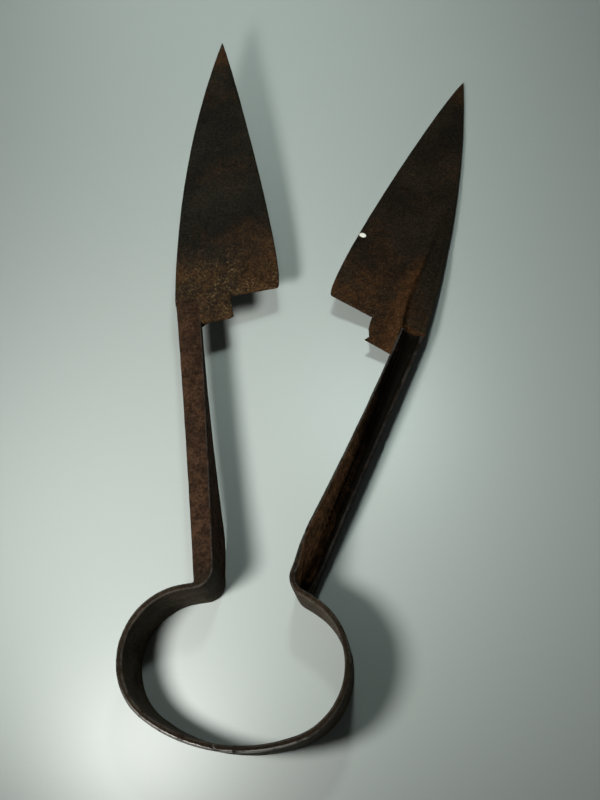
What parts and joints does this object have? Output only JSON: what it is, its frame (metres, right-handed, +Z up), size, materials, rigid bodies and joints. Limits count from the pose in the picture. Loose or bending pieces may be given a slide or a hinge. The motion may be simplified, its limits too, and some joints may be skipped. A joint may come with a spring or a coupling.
{
  "type": "sheep shears",
  "caption": "Hand sheep shears of one forged piece: a bow spring on edge, two channel shanks and two pointed blades that slide past each other.",
  "frame": {"origin": "under the middle of the bar at the back of the bow, on the surface that the shears lie on", "axes": "+Y from the bow towards the tips of the blades, +Z up, +X towards the right blade, which passes above the left one"},
  "size_m": [0.1272, 0.3262, 0.025],
  "materials": {
    "bow_steel": "dark brown patina, edges worn bright",
    "shank_steel": "reddish-brown granular rust",
    "blade_steel": "dark brown rust with ochre speckles"
  },
  "bodies": {
    "bow": {"bow_spring": "bow_steel"},
    "left_half": {"left_shank": "shank_steel", "left_blade": "blade_steel"},
    "right_half": {"right_shank": "shank_steel", "right_blade": "blade_steel"}
  },
  "joints": [
    {"name": "left_closing", "type": "hinge", "parent": "bow", "child": "left_half", "pos_m": [-0.0256, 0.0193, 0.0125], "axis": [-0.1925, 0, -0.9813], "range_deg": [0, 12], "stiffness_Nm_per_rad": 12, "deforming": ["bow_spring"]},
    {"name": "right_closing", "type": "hinge", "parent": "bow", "child": "right_half", "pos_m": [0.0256, 0.0193, 0.0125], "axis": [0.1925, 0, 0.9813], "range_deg": [0, 12], "stiffness_Nm_per_rad": 12}
  ],
  "couplings": [
    {"joint": "right_closing", "follows": "left_closing", "ratio": 1}
  ]
}
